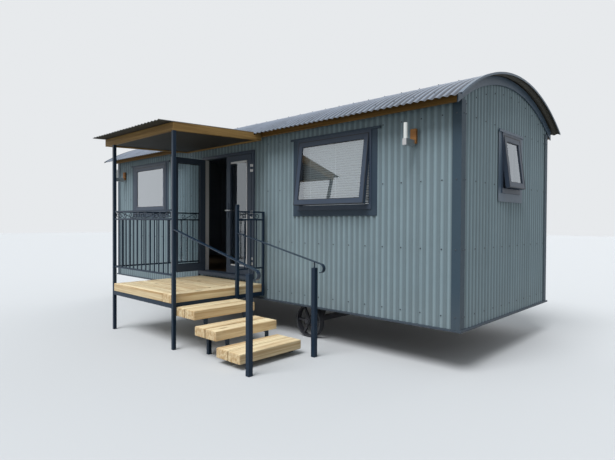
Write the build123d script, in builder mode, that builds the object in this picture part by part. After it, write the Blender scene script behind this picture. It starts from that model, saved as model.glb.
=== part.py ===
"""Shepherd's hut on cast wheels, with an entrance deck, canopy and steps.

Millimetres. X runs along the hut, Y from the front to the back, Z up.
The origin is on the ground, under the middle of the overall box.
"""

import os
from math import asin, cos, degrees, radians, sin, sqrt

from build123d import *

# Hut body
hut_length = 7130
hut_width = 2520
wall_base = 430
wall_core = 82
floor_underside = 480
floor_height = 690
flashing_thickness = 3
seat_gap = 0.3

# Corrugated steel sheet
sheet_pitch = 76.2
sheet_depth = 18
sheet_thickness = 2

# Arched roof
roof_radius = 2665
eave_height = 2745
roof_core = 60
front_eave_overhang = 225
back_eave_overhang = 165
gable_overhang = 110

# Eave and edge trims
fascia_drop = 170
fascia_thickness = 40
fascia_standoff = 60
verge_band_depth = 90
verge_band_thickness = 12
verge_flashing_width = 40
corner_flange = 88
base_flashing_height = 20
base_flashing_reach = 20

# Windows
front_window_width = 1128
front_window_height = 870
front_window_drop = 280
front_right_window_from_end = 1590
front_left_window_from_left = 1255
gable_window_width = 540
gable_window_height = 660
gable_window_drop = 305
gable_window_forward = 20
window_member = 30
window_sill_member = 55
window_depth = 70
window_proud = 12
sash_member = 62
sash_thickness = 48
sash_clearance = 3
front_sash_angle = 7.5
gable_sash_angle = 7
glass_thickness = 24
front_trim = (75, 24, 70)
front_trim_oversail = 40
gable_trim = (85, 28, 95)
drip_reach = 14
blind_thickness = 25

# Double door
door_from_end = 3610
door_clear_width = 1140
door_member = 45
door_sill_rise = 15
door_drop = 350
door_depth = 95
door_proud = 10
door_clearance = 5
door_meeting_gap = 12
leaf_thickness = 52
leaf_stile = 88
leaf_top_rail = 80
leaf_bottom_rail = 112
knuckle_radius = 8
knuckle_length = 34
hinge_pin_radius = 4
hinge_running_gap = 0.5
hinge_plate_width = 34
hinge_plate_thickness = 3
hinge_web = 8
hinge_from_end = 200
handle_above_leaf = 907
handle_from_edge = 42
handle_plate_width = 30
handle_plate_height = 210
handle_plate_thickness = 8
handle_neck = 40
handle_neck_radius = 7
lever_length = 120
lever_radius = 9
threshold_length = 1230
threshold_reach = 75
threshold_thickness = 50

# Deck, canopy posts and canopy
deck_right_from_end = 2770
deck_length = 1455
deck_front = 1405
deck_top = 620
sleeper_width = 200
sleeper_thickness = 100
sleeper_gap = 5
deck_beam = 50
post_size = 40
post_setback = 20
canopy_reach = 1565
canopy_front = 1405
canopy_left_oversail = 235
canopy_beam = 45
canopy_beam_depth = 95
canopy_drop = 270
canopy_fall = 50
canopy_soffit_thickness = 12
canopy_soffit_recess = 15
canopy_sheet_side = 45
canopy_sheet_clearance = 8

# Steps
step_count = 3
step_rise = 160
step_going = 392
step_near_side = 1358
step_length = 850
step_post_inset = 150
bearer_thickness = 10
bearer_width = 50

# Handrails and railings
newel_size = 50
newel_height = 962
newel_from_end = 1420
upper_newel_rise = 1050
rail_line_back = 484
front_rail_rise = 740
rear_rail_rise = 690
handrail_above_newel = 66
handrail_width = 40
handrail_thickness = 8
handrail_pin_radius = 8
scroll_radius = 46
railing_top_rise = 970
railing_second_rise = 870
railing_bottom_rise = 235
rail_bar = 20
frieze_pitch = 364
frieze_span = 200
frieze_bar = 8
frieze_thickness = 6
frieze_sink = 4
frieze_eye = 12
frieze_turn = 405
frieze_step = 45
baluster_bar = 12
baluster_pitch = 108
wall_post_size = 30
wall_post_back = 50

# Chassis and wheels
wheel_radius = 205
wheel_width = 75
wheel_face_inset = 110
rim_thickness = 18
spoke_count = 6
spoke_width = 24
spoke_thickness = 30
hub_radius = 42
hub_length = 110
stub_radius = 20
stub_running_gap = 0.3
cap_radius = 27
cap_length = 12
axle_from_end = 2070
axle_size = 60
rail_width = 60
rail_depth = 100
rail_inset = 340
cross_member_count = 4
bracket_top_width = 200
bracket_foot_width = 90

# Wall lamps
lamp_block_width = 65
lamp_block_height = 150
lamp_block_thickness = 30
lamp_drop = 500
lamp_tube_radius = 20
lamp_tube_length = 155
lamp_arm_reach = 170
lamp_arm_width = 44
lamp_arm_height = 65
lamp_arm_below = 30
right_lamp_from_end = 500
left_lamp_from_left = 300

# Worked-out places
right_end = hut_length / 2
left_end = -right_end
front_y = (canopy_reach - hut_width - back_eave_overhang) / 2
back_y = front_y + hut_width
middle_y = (front_y + back_y) / 2
wall_thickness = sheet_depth + wall_core
core_front = front_y + sheet_depth
core_back = back_y - sheet_depth
inner_front = front_y + wall_thickness
inner_back = back_y - wall_thickness
core_right = right_end - sheet_depth
inner_right = right_end - wall_thickness
roof_centre_height = eave_height - sqrt(roof_radius**2 - (hut_width / 2) ** 2)
roof_underside = roof_radius - sheet_depth
ceiling_radius = roof_underside - roof_core
front_eave_y = front_y - front_eave_overhang
back_eave_y = back_y + back_eave_overhang
fascia_bottom = eave_height - fascia_drop
fascia_outset = fascia_standoff + fascia_thickness
base_height = wall_base - base_flashing_height

door_x = right_end - door_from_end
door_left = door_x - door_clear_width / 2
door_right = door_x + door_clear_width / 2
door_outer_left = door_left - door_member
door_outer_right = door_right + door_member
door_sill_top = floor_height + door_sill_rise
leaf_bottom = door_sill_top + door_clearance
door_leaf_top = eave_height - door_drop
leaf_height = door_leaf_top - leaf_bottom
door_outer_bottom = door_sill_top - door_member
door_head = door_leaf_top + door_clearance
door_outer_top = door_head + door_member
leaf_width = (door_clear_width - 2 * door_clearance - door_meeting_gap) / 2

deck_right = right_end - deck_right_from_end
deck_left = deck_right - deck_length
deck_front_y = front_y - deck_front
deck_back_y = front_y - base_flashing_reach
deck_bottom = deck_top - sleeper_thickness
post_y = deck_front_y + post_setback
right_post_x = deck_right + post_size / 2
left_post_x = deck_left - post_size / 2
newel_x = right_end - newel_from_end
rail_back_y = front_y - rail_line_back
railing_top = deck_top + railing_top_rise
railing_second = deck_top + railing_second_rise
railing_bottom = deck_top + railing_bottom_rise
canopy_front_height = eave_height - canopy_drop


def arch(x_start, length, inner_radius, outer_radius, y_range):
    """Curved strip along the hut between two roof arcs, its ends cut upright."""
    with BuildPart() as strip:
        with BuildSketch(Plane.YZ.offset(x_start)):
            with Locations((middle_y, roof_centre_height)):
                Circle(outer_radius)
                Circle(inner_radius, mode=Mode.SUBTRACT)
            with Locations((sum(y_range) / 2, roof_centre_height + outer_radius)):
                Rectangle(y_range[1] - y_range[0], 2 * outer_radius, mode=Mode.INTERSECT)
        extrude(amount=length)
    return strip.part


def box_between(x_range, y_range, z_range):
    """Plain block between two opposite corners."""
    with BuildPart() as block:
        with Locations((sum(x_range) / 2, sum(y_range) / 2, sum(z_range) / 2)):
            Box(x_range[1] - x_range[0], y_range[1] - y_range[0], z_range[1] - z_range[0])
    return block.part


def corrugation(length):
    """Ridged section from zero to a length, crests on the local X axis, back below it."""
    valley = sheet_thickness - sheet_depth
    half_waves = int(2 * length / sheet_pitch)
    points = [(number * sheet_pitch / 2, valley * (number % 2)) for number in range(half_waves + 1)]
    points.append((length, points[-1][1]))
    points.append((length, -sheet_depth))
    points.append((0, -sheet_depth))
    return points


def window_plane(x, y, outward, head):
    """Plane on a wall's outer face, local Y up from the window's head."""
    along = Vector(0, 0, 1).cross(Vector(*outward))
    return Plane(origin=(x, y, head), x_dir=along, z_dir=outward)


# Walls: slabs behind the cladding, cut for the windows and split beside and over the doorway
def front_wall_piece(x_range, z_range):
    """Slab of the front wall, its top under the roof arc."""
    with BuildPart() as piece:
        add(box_between(x_range, (core_front, inner_front), z_range))
        with BuildSketch(Plane.YZ.offset(x_range[0])):
            with Locations((middle_y, roof_centre_height)):
                Circle(ceiling_radius)
        extrude(amount=x_range[1] - x_range[0], mode=Mode.INTERSECT)
    return piece.part


front_window_head = eave_height - front_window_drop
front_right_window = window_plane(
    right_end - front_right_window_from_end, front_y, (0, -1, 0), front_window_head
)
front_left_window = window_plane(
    left_end + front_left_window_from_left, front_y, (0, -1, 0), front_window_head
)
gable_window_head = eave_height - gable_window_drop
gable_window_y = middle_y - gable_window_forward
gable_right_window = window_plane(right_end, gable_window_y, (1, 0, 0), gable_window_head)
gable_left_window = window_plane(left_end, gable_window_y, (-1, 0, 0), gable_window_head)
wall_top = roof_centre_height + roof_radius


def window_hole(plane, width, height):
    """Block that cuts a window's hole right through a wall."""
    with BuildPart() as hole:
        with BuildSketch(plane.offset(window_depth)):
            with Locations((0, -height / 2)):
                Rectangle(width, height)
        extrude(amount=-2 * window_depth - wall_thickness)
    return hole.part


right_hole = window_hole(front_right_window, front_window_width, front_window_height)
left_hole = window_hole(front_left_window, front_window_width, front_window_height)
gable_right_hole = window_hole(gable_right_window, gable_window_width, gable_window_height)
gable_left_hole = window_hole(gable_left_window, gable_window_width, gable_window_height)

with BuildPart() as front_wall_left:
    add(front_wall_piece((-core_right, door_outer_left), (wall_base, wall_top)))
    add(left_hole, mode=Mode.SUBTRACT)
front_wall_left.part.label = "front_wall_left"

with BuildPart() as front_wall_right:
    add(front_wall_piece((door_outer_right, core_right), (wall_base, wall_top)))
    add(right_hole, mode=Mode.SUBTRACT)
front_wall_right.part.label = "front_wall_right"

with BuildPart() as front_wall_over_door:
    add(front_wall_piece((door_outer_left, door_outer_right), (door_outer_top, wall_top)))
front_wall_over_door.part.label = "front_wall_over_door"

with BuildPart() as front_wall_under_door:
    add(front_wall_piece((door_outer_left, door_outer_right), (wall_base, door_outer_bottom)))
front_wall_under_door.part.label = "front_wall_under_door"

with BuildPart() as back_wall:
    add(box_between((-core_right, core_right), (inner_back, core_back), (wall_base, wall_top)))
    with BuildSketch(Plane.YZ.offset(-core_right)):
        with Locations((middle_y, roof_centre_height)):
            Circle(ceiling_radius)
    extrude(amount=2 * core_right, mode=Mode.INTERSECT)
back_wall.part.label = "back_wall"


def gable_wall(side, hole):
    """Gable slab between the front and back walls, its top under the roof arc."""
    with BuildPart() as slab:
        with BuildSketch(Plane.YZ.offset(side * inner_right)):
            with Locations((middle_y, roof_centre_height)):
                Circle(ceiling_radius)
            with Locations((middle_y, (wall_base + wall_top) / 2)):
                Rectangle(inner_back - inner_front, wall_top - wall_base, mode=Mode.INTERSECT)
        extrude(amount=side * wall_core)
        add(hole, mode=Mode.SUBTRACT)
    return slab.part


with BuildPart() as gable_wall_right:
    add(gable_wall(1, gable_right_hole))
gable_wall_right.part.label = "gable_wall_right"

with BuildPart() as gable_wall_left:
    add(gable_wall(-1, gable_left_hole))
gable_wall_left.part.label = "gable_wall_left"

with BuildPart() as floor:
    add(
        box_between(
            (-inner_right, inner_right), (inner_front, inner_back), (floor_underside, floor_height)
        )
    )
floor.part.label = "floor"

# Roof: an insulated arch on the walls, with curved sheets over it
core_edges = (front_y - fascia_standoff, back_y + fascia_standoff)
with BuildPart() as roof_arch:
    add(arch(left_end, hut_length, ceiling_radius, roof_underside, core_edges))
roof_arch.part.label = "roof_arch"

eaves = (front_eave_y, back_eave_y)
sheet_end = right_end + gable_overhang
with BuildPart() as roof_sheets:
    add(arch(-sheet_end, 2 * sheet_end, roof_underside, roof_radius, eaves))
roof_sheets.part.label = "roof_sheets"

with BuildPart() as verge_bands:
    for band_start in (right_end, left_end - verge_band_thickness):
        add(
            arch(
                band_start,
                verge_band_thickness,
                roof_underside - verge_band_depth,
                roof_underside - seat_gap,
                (front_y - fascia_outset, back_y + fascia_outset),
            )
        )
verge_bands.part.label = "verge_bands"

flashing_radius = roof_radius + flashing_thickness
with BuildPart() as verge_flashings:
    for side in (1, -1):
        strip_end = side * sheet_end
        strip_start = strip_end - side * verge_flashing_width
        lip_end = strip_end + side * flashing_thickness
        add(
            arch(
                min(strip_start, lip_end),
                verge_flashing_width + flashing_thickness,
                roof_radius + seat_gap,
                flashing_radius,
                eaves,
            )
        )
        add(
            arch(
                min(strip_end, lip_end),
                flashing_thickness,
                roof_underside,
                flashing_radius,
                eaves,
            )
        )
verge_flashings.part.label = "verge_flashings"

# Corrugated cladding, crests on the outer face of the hut
wall_half_width = hut_width / 2
cladding_top = roof_centre_height + sqrt(ceiling_radius**2 - wall_half_width**2) - seat_gap
cladding_height = cladding_top - wall_base
front_cladding_plane = Plane(origin=(left_end, front_y, wall_base), x_dir=(1, 0, 0), z_dir=(0, 0, 1))
with BuildPart() as front_cladding:
    with BuildSketch(front_cladding_plane):
        with BuildLine():
            Polyline([(x, -y) for x, y in corrugation(hut_length)], close=True)
        make_face()
    extrude(amount=cladding_height)
    add(right_hole, mode=Mode.SUBTRACT)
    add(left_hole, mode=Mode.SUBTRACT)
    add(
        box_between(
            (door_outer_left, door_outer_right),
            (front_y - sheet_depth, inner_front),
            (door_outer_bottom, door_outer_top),
        ),
        mode=Mode.SUBTRACT,
    )
front_cladding.part.label = "front_cladding"

back_cladding_plane = Plane(origin=(left_end, back_y, wall_base), x_dir=(1, 0, 0), z_dir=(0, 0, 1))
with BuildPart() as back_cladding:
    with BuildSketch(back_cladding_plane):
        with BuildLine():
            Polyline(corrugation(hut_length), close=True)
        make_face()
    extrude(amount=cladding_height)
back_cladding.part.label = "back_cladding"

gable_width = hut_width - 2 * sheet_depth


def gable_cladding(side, hole):
    """Corrugated sheets of one gable, cut to the roof arc."""
    base = Plane(origin=(side * right_end, core_front, wall_base), x_dir=(0, 1, 0), z_dir=(0, 0, 1))
    with BuildPart() as sheets:
        with BuildSketch(base):
            with BuildLine():
                Polyline([(x, -side * y) for x, y in corrugation(gable_width)], close=True)
            make_face()
        extrude(amount=wall_top - wall_base)
        with BuildSketch(Plane.YZ.offset(side * right_end)):
            with Locations((middle_y, roof_centre_height)):
                Circle(ceiling_radius)
        extrude(amount=-side * sheet_depth, mode=Mode.INTERSECT)
        add(hole, mode=Mode.SUBTRACT)
    return sheets.part


with BuildPart() as gable_claddings:
    add(gable_cladding(1, gable_right_hole))
    add(gable_cladding(-1, gable_left_hole))
gable_claddings.part.label = "gable_claddings"

# Timber fascias under the eaves, their tops cut to the roof sheets
fascia_half_length = right_end - seat_gap
with BuildPart() as eave_fascias:
    for inner_y, outer_y in (
        (front_y - fascia_standoff, front_y - fascia_outset),
        (back_y + fascia_standoff, back_y + fascia_outset),
    ):
        add(
            box_between(
                (-fascia_half_length, fascia_half_length),
                (min(inner_y, outer_y), max(inner_y, outer_y)),
                (fascia_bottom, wall_top),
            )
        )
    with BuildSketch(Plane.YZ.offset(-fascia_half_length)):
        with Locations((middle_y, roof_centre_height)):
            Circle(roof_underside - seat_gap)
    extrude(amount=2 * fascia_half_length, mode=Mode.INTERSECT)
eave_fascias.part.label = "eave_fascias"

# Folded corner flashings and the base flashing that the sheets stand on
band_inner_radius = roof_underside - verge_band_depth
corner_reach = wall_half_width + flashing_thickness
corner_top = roof_centre_height + sqrt(band_inner_radius**2 - corner_reach**2) - seat_gap
with BuildPart() as corner_flashings:
    for corner_x, inward_x in ((right_end, -1), (left_end, 1)):
        for corner_y, inward_y in ((front_y, 1), (back_y, -1)):
            outer_x = corner_x - inward_x * flashing_thickness
            outer_y = corner_y - inward_y * flashing_thickness
            with BuildSketch(Plane.XY.offset(wall_base)):
                with BuildLine():
                    Polyline(
                        (outer_x, outer_y),
                        (corner_x + inward_x * corner_flange, outer_y),
                        (corner_x + inward_x * corner_flange, corner_y),
                        (corner_x, corner_y),
                        (corner_x, corner_y + inward_y * corner_flange),
                        (outer_x, corner_y + inward_y * corner_flange),
                        close=True,
                    )
                make_face()
            extrude(amount=corner_top - wall_base)
corner_flashings.part.label = "corner_flashings"

flashing_x = right_end + base_flashing_reach
flashing_front = front_y - base_flashing_reach
flashing_back = back_y + base_flashing_reach
with BuildPart() as base_flashings:
    for y_range in ((flashing_front, inner_front), (inner_back, flashing_back)):
        add(box_between((-flashing_x, flashing_x), y_range, (base_height, wall_base)))
base_flashings.part.label = "base_flashings"

with BuildPart() as gable_base_flashings:
    for x_range in ((inner_right, flashing_x), (-flashing_x, -inner_right)):
        add(box_between(x_range, (inner_front, inner_back), (base_height, wall_base)))
gable_base_flashings.part.label = "gable_base_flashings"


# Windows: a frame in the wall, a top-hung sash and its glass
def window_frame(plane, width, height):
    """Frame ring with a deeper member at its sill."""
    with BuildPart() as frame:
        with BuildSketch(plane.offset(window_proud)):
            with Locations((0, -height / 2)):
                Rectangle(width, height)
            with Locations((0, -(height + window_member - window_sill_member) / 2)):
                Rectangle(
                    width - 2 * window_member,
                    height - window_member - window_sill_member,
                    mode=Mode.SUBTRACT,
                )
        extrude(amount=-window_depth)
    return frame.part


def sash_plane(plane, angle):
    """Plane of a sash's outer face, hung at the frame's head and swung out by an angle."""
    hinge = plane.origin + plane.z_dir * window_proud - plane.y_dir * (window_member + seat_gap)
    outward = plane.z_dir * cos(radians(angle)) + plane.y_dir * sin(radians(angle))
    return Plane(origin=hinge, x_dir=plane.x_dir, z_dir=outward)


def sash_size(width, height):
    """Outer width and height of the sash in a frame."""
    sash_width = width - 2 * window_member - 2 * sash_clearance
    sash_height = height - window_member - window_sill_member - sash_clearance
    return sash_width, sash_height


def window_sash(plane, width, height, angle):
    """Sash ring around its glass."""
    sash_width, sash_height = sash_size(width, height)
    with BuildPart() as sash:
        with BuildSketch(sash_plane(plane, angle)):
            with Locations((0, -sash_height / 2)):
                Rectangle(sash_width, sash_height)
                Rectangle(
                    sash_width - 2 * sash_member,
                    sash_height - 2 * sash_member,
                    mode=Mode.SUBTRACT,
                )
        extrude(amount=-sash_thickness)
    return sash.part


def window_glass(plane, width, height, angle):
    """Sealed double glazing in the middle of its sash."""
    sash_width, sash_height = sash_size(width, height)
    glass_face = (sash_thickness - glass_thickness) / 2
    with BuildPart() as glass:
        with BuildSketch(sash_plane(plane, angle).offset(-glass_face)):
            with Locations((0, -sash_height / 2)):
                Rectangle(sash_width - 2 * sash_member, sash_height - 2 * sash_member)
        extrude(amount=-glass_thickness)
    return glass.part


def window_trim(plane, width, height, trim_widths, oversail):
    """Flat flashing on the cladding around a window frame, under a folded drip."""
    side_width, top_width, bottom_width = trim_widths
    with BuildPart() as trim:
        with BuildSketch(plane):
            with Locations((0, -(height + bottom_width - top_width) / 2)):
                Rectangle(width + 2 * side_width, height + top_width + bottom_width)
            with Locations((0, -height / 2)):
                Rectangle(width, height, mode=Mode.SUBTRACT)
        extrude(amount=flashing_thickness)
        with BuildSketch(plane):
            with Locations((0, top_width / 2)):
                Rectangle(width + 2 * (side_width + oversail), top_width)
        extrude(amount=drip_reach)
    return trim.part


front_size = (front_window_width, front_window_height)
gable_size = (gable_window_width, gable_window_height)
windows = (
    (front_right_window, front_size, front_sash_angle),
    (front_left_window, front_size, 0),
    (gable_right_window, gable_size, gable_sash_angle),
    (gable_left_window, gable_size, gable_sash_angle),
)

with BuildPart() as window_frames:
    for wall_plane, (width, height), angle in windows:
        add(window_frame(wall_plane, width, height))
window_frames.part.label = "window_frames"

with BuildPart() as window_sashes:
    for wall_plane, (width, height), angle in windows:
        add(window_sash(wall_plane, width, height, angle))
window_sashes.part.label = "window_sashes"

with BuildPart() as window_panes:
    for wall_plane, (width, height), angle in windows:
        add(window_glass(wall_plane, width, height, angle))
window_panes.part.label = "window_panes"

with BuildPart() as window_trims:
    for wall_plane in (front_right_window, front_left_window):
        add(window_trim(wall_plane, *front_size, front_trim, front_trim_oversail))
    for wall_plane in (gable_right_window, gable_left_window):
        add(window_trim(wall_plane, *gable_size, gable_trim, 0))
window_trims.part.label = "window_trims"

blind_setback = window_depth - window_proud + seat_gap
with BuildPart() as window_blind:
    with BuildSketch(front_right_window.offset(-blind_setback)):
        with Locations((0, -front_window_height / 2)):
            Rectangle(front_window_width - window_member, front_window_height - window_member)
    extrude(amount=-blind_thickness)
window_blind.part.label = "window_blind"

# Double door: frame, two glazed leaves on knuckle hinges, handle and threshold
door_height = door_outer_top - door_outer_bottom
door_outer_width = door_outer_right - door_outer_left
door_plane = Plane(origin=(door_x, front_y - door_proud, 0), x_dir=(1, 0, 0), z_dir=(0, -1, 0))
leaf_face = front_y - door_proud - hinge_plate_thickness
hinge_y = leaf_face - knuckle_radius
left_hinge_x = door_left + door_clearance / 2
right_hinge_x = door_right - door_clearance / 2
hinge_heights = (
    leaf_bottom + hinge_from_end,
    leaf_bottom + leaf_height / 2,
    door_leaf_top - hinge_from_end,
)
barrel_half = knuckle_length / 2 + hinge_running_gap

with BuildPart() as door_frame:
    with BuildSketch(door_plane):
        with Locations((0, (door_outer_bottom + door_outer_top) / 2)):
            Rectangle(door_outer_width, door_height)
        with Locations((0, (door_sill_top + door_head) / 2)):
            Rectangle(door_clear_width, door_head - door_sill_top, mode=Mode.SUBTRACT)
    extrude(amount=-door_depth)
door_frame.part.label = "door_frame"

with BuildPart() as door_hinges:
    for hinge_x, outward in ((left_hinge_x, -1), (right_hinge_x, 1)):
        for height in hinge_heights:
            for knuckle_z in (height - barrel_half - knuckle_length, height + barrel_half):
                with BuildSketch(Plane.XY.offset(knuckle_z)):
                    with Locations((hinge_x, hinge_y)):
                        Circle(knuckle_radius)
                    with Locations(
                        (
                            hinge_x + outward * hinge_plate_width / 2,
                            leaf_face + hinge_plate_thickness / 2,
                        )
                    ):
                        Rectangle(hinge_plate_width, hinge_plate_thickness)
                    with Locations((hinge_x + outward * hinge_web / 4, leaf_face)):
                        Rectangle(hinge_web, 2 * hinge_plate_thickness)
                extrude(amount=knuckle_length)
            with BuildSketch(Plane.XY.offset(height - barrel_half)):
                with Locations((hinge_x, hinge_y)):
                    Circle(hinge_pin_radius)
            extrude(amount=2 * barrel_half)
door_hinges.part.label = "door_hinges"


def door_leaf(plane, hand):
    """Glazed leaf frame with its three knuckles; hand is 1 when it runs towards local +X."""
    edge = hand * door_clearance / 2
    with BuildPart() as leaf:
        with BuildSketch(plane.offset(-knuckle_radius)):
            with Locations((edge + hand * leaf_width / 2, leaf_bottom + leaf_height / 2)):
                Rectangle(leaf_width, leaf_height)
            glass_centre = leaf_bottom + (leaf_height + leaf_bottom_rail - leaf_top_rail) / 2
            with Locations((edge + hand * leaf_width / 2, glass_centre)):
                Rectangle(
                    leaf_width - 2 * leaf_stile,
                    leaf_height - leaf_top_rail - leaf_bottom_rail,
                    mode=Mode.SUBTRACT,
                )
        extrude(amount=-leaf_thickness)
        for height in hinge_heights:
            base = Plane(
                origin=plane.origin + Vector(0, 0, height - knuckle_length / 2),
                x_dir=plane.x_dir,
                z_dir=(0, 0, 1),
            )
            with BuildSketch(base):
                Circle(knuckle_radius)
                with Locations((hand * hinge_plate_width / 2, knuckle_radius)):
                    Rectangle(hinge_plate_width, 2 * hinge_plate_thickness)
                Circle(hinge_pin_radius + hinge_running_gap, mode=Mode.SUBTRACT)
            extrude(amount=knuckle_length)
    return leaf.part


def leaf_glass(plane, hand):
    """Sealed double glazing in the middle of a leaf."""
    edge = hand * door_clearance / 2
    glass_centre = leaf_bottom + (leaf_height + leaf_bottom_rail - leaf_top_rail) / 2
    glass_face = knuckle_radius + (leaf_thickness - glass_thickness) / 2
    with BuildPart() as glass:
        with BuildSketch(plane.offset(-glass_face)):
            with Locations((edge + hand * leaf_width / 2, glass_centre)):
                Rectangle(
                    leaf_width - 2 * leaf_stile,
                    leaf_height - leaf_top_rail - leaf_bottom_rail,
                )
        extrude(amount=-glass_thickness)
    return glass.part


open_left_plane = Plane(origin=(left_hinge_x, hinge_y, 0), x_dir=(0, -1, 0), z_dir=(-1, 0, 0))
shut_right_plane = Plane(origin=(right_hinge_x, hinge_y, 0), x_dir=(1, 0, 0), z_dir=(0, -1, 0))

with BuildPart() as door_leaf_left:
    add(door_leaf(open_left_plane, 1))
door_leaf_left.part.label = "door_leaf_left"

with BuildPart() as door_glass_left:
    add(leaf_glass(open_left_plane, 1))
door_glass_left.part.label = "door_glass_left"

with BuildPart() as door_leaf_right:
    add(door_leaf(shut_right_plane, -1))
door_leaf_right.part.label = "door_leaf_right"

with BuildPart() as door_glass_right:
    add(leaf_glass(shut_right_plane, -1))
door_glass_right.part.label = "door_glass_right"

handle_x = right_hinge_x - door_clearance / 2 - leaf_width + handle_from_edge
handle_height = leaf_bottom + handle_above_leaf
handle_plane = Plane(origin=(handle_x, leaf_face, handle_height), x_dir=(1, 0, 0), z_dir=(0, -1, 0))
with BuildPart() as door_handle:
    with BuildSketch(handle_plane):
        RectangleRounded(handle_plate_width, handle_plate_height, handle_plate_width / 3)
    extrude(amount=handle_plate_thickness)
    with BuildSketch(handle_plane.offset(handle_plate_thickness)):
        Circle(handle_neck_radius)
    extrude(amount=handle_neck)
    lever_depth = leaf_face - handle_plate_thickness - handle_neck
    with BuildSketch(Plane.YZ.offset(handle_x - lever_radius)):
        with Locations((lever_depth, handle_height)):
            Circle(lever_radius)
    extrude(amount=lever_length)
door_handle.part.label = "door_handle"

threshold_top = door_sill_top - door_clearance
with BuildPart() as door_threshold:
    add(
        box_between(
            (door_x - threshold_length / 2, door_x + threshold_length / 2),
            (front_y - threshold_reach, front_y - door_proud),
            (threshold_top - threshold_thickness, threshold_top),
        )
    )
door_threshold.part.label = "door_threshold"

# Deck: sleepers along the hut with one edge sleeper across their right ends, on steel beams
edge_sleeper_left = deck_right - sleeper_width
deck_depth = deck_back_y - deck_front_y
sleeper_rows = int((deck_depth + sleeper_gap) // (sleeper_width + sleeper_gap))
row_width = (deck_depth - sleeper_gap * (sleeper_rows - 1)) / sleeper_rows
with BuildPart() as deck_sleepers:
    for row in range(sleeper_rows):
        row_front = deck_front_y + row * (row_width + sleeper_gap)
        add(
            box_between(
                (deck_left, edge_sleeper_left - sleeper_gap),
                (row_front, row_front + row_width),
                (deck_bottom, deck_top),
            )
        )
    add(
        box_between(
            (edge_sleeper_left, deck_right), (deck_front_y, deck_back_y), (deck_bottom, deck_top)
        )
    )
deck_sleepers.part.label = "deck_sleepers"

beam_bottom = deck_bottom - deck_beam
with BuildPart() as deck_beams:
    for y_start in (deck_front_y, deck_back_y - deck_beam):
        add(
            box_between(
                (deck_left, deck_right), (y_start, y_start + deck_beam), (beam_bottom, deck_bottom)
            )
        )
deck_beams.part.label = "deck_beams"

with BuildPart() as deck_joists:
    for x_start in (deck_left, (deck_left + deck_right - deck_beam) / 2, deck_right - deck_beam):
        add(
            box_between(
                (x_start, x_start + deck_beam),
                (deck_front_y + deck_beam, deck_back_y - deck_beam),
                (beam_bottom, deck_bottom),
            )
        )
deck_joists.part.label = "deck_joists"

# Canopy: sloping timber frame on two posts, soffit and corrugated sheet
canopy_right = deck_right + post_size
canopy_left = left_post_x - canopy_left_oversail
canopy_front_y = front_y - canopy_front
canopy_back_y = front_y - fascia_outset
canopy_run = canopy_back_y - canopy_front_y
canopy_slope = canopy_fall / canopy_run


def canopy_height(y):
    """Underside of the canopy frame at a place across the hut."""
    return canopy_front_height + canopy_slope * (y - canopy_front_y)


def sloped_slab(x_range, y_range, above, thickness):
    """Slab that follows the canopy's fall, a distance above the frame's underside."""
    low = canopy_height(y_range[0]) + above
    high = canopy_height(y_range[1]) + above
    with BuildPart() as slab:
        with BuildSketch(Plane.YZ.offset(x_range[0])):
            with BuildLine():
                Polyline(
                    (y_range[0], low),
                    (y_range[1], high),
                    (y_range[1], high + thickness),
                    (y_range[0], low + thickness),
                    close=True,
                )
            make_face()
        extrude(amount=x_range[1] - x_range[0])
    return slab.part


beam_y_range = (canopy_front_y + canopy_beam, canopy_back_y)
canopy_sheet_back_y = front_eave_y - canopy_sheet_clearance
with BuildPart() as canopy_frame:
    add(
        sloped_slab(
            (canopy_left, canopy_right),
            (canopy_front_y, canopy_front_y + canopy_beam),
            0,
            canopy_beam_depth,
        )
    )
    for x_start in (canopy_left, canopy_right - canopy_beam):
        add(sloped_slab((x_start, x_start + canopy_beam), beam_y_range, 0, canopy_beam_depth))
    add(
        sloped_slab(
            (canopy_left + canopy_beam, canopy_right - canopy_beam),
            (canopy_back_y - canopy_beam, canopy_back_y),
            0,
            canopy_beam_depth,
        )
    )
    add(
        arch(
            canopy_left,
            canopy_right - canopy_left,
            roof_underside - canopy_sheet_clearance,
            roof_radius + canopy_beam_depth,
            (canopy_sheet_back_y, canopy_back_y),
        ),
        mode=Mode.SUBTRACT,
    )
canopy_frame.part.label = "canopy_frame"

with BuildPart() as canopy_soffit:
    add(
        sloped_slab(
            (canopy_left + canopy_beam, canopy_right - canopy_beam),
            (canopy_front_y + canopy_beam, canopy_back_y - canopy_beam),
            canopy_soffit_recess,
            canopy_soffit_thickness,
        )
    )
canopy_soffit.part.label = "canopy_soffit"

sheet_left = canopy_left - canopy_sheet_side
sheet_front_y = front_y - canopy_reach
sheet_run = canopy_sheet_back_y - sheet_front_y
sheet_rise = canopy_slope * sheet_run
canopy_sheet_plane = Plane(
    origin=(
        sheet_left,
        sheet_front_y,
        canopy_height(sheet_front_y) + canopy_beam_depth + sheet_depth + seat_gap,
    ),
    x_dir=(1, 0, 0),
    z_dir=(0, -sheet_run, -sheet_rise),
)
with BuildPart() as canopy_sheet:
    with BuildSketch(canopy_sheet_plane):
        with BuildLine():
            Polyline(corrugation(canopy_right - sheet_left), close=True)
        make_face()
    extrude(amount=-sqrt(sheet_run**2 + sheet_rise**2))
canopy_sheet.part.label = "canopy_sheet"

with BuildPart() as canopy_posts:
    for post_x in (right_post_x, left_post_x):
        with BuildSketch(Plane.XY):
            with Locations((post_x, post_y)):
                Rectangle(post_size, post_size)
        extrude(amount=canopy_height(post_y - post_size / 2))
canopy_posts.part.label = "canopy_posts"

# Steps: pairs of sleepers on two folded steel stringers that hang from the deck's joists
step_near_y = front_y - step_near_side
step_far_y = step_near_y + step_length
support_ys = (step_near_y + step_post_inset, step_far_y - step_post_inset)


def step_left(number):
    """Back edge of a step, counted down from the deck."""
    return deck_right + sleeper_gap + (number - 1) * step_going


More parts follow.
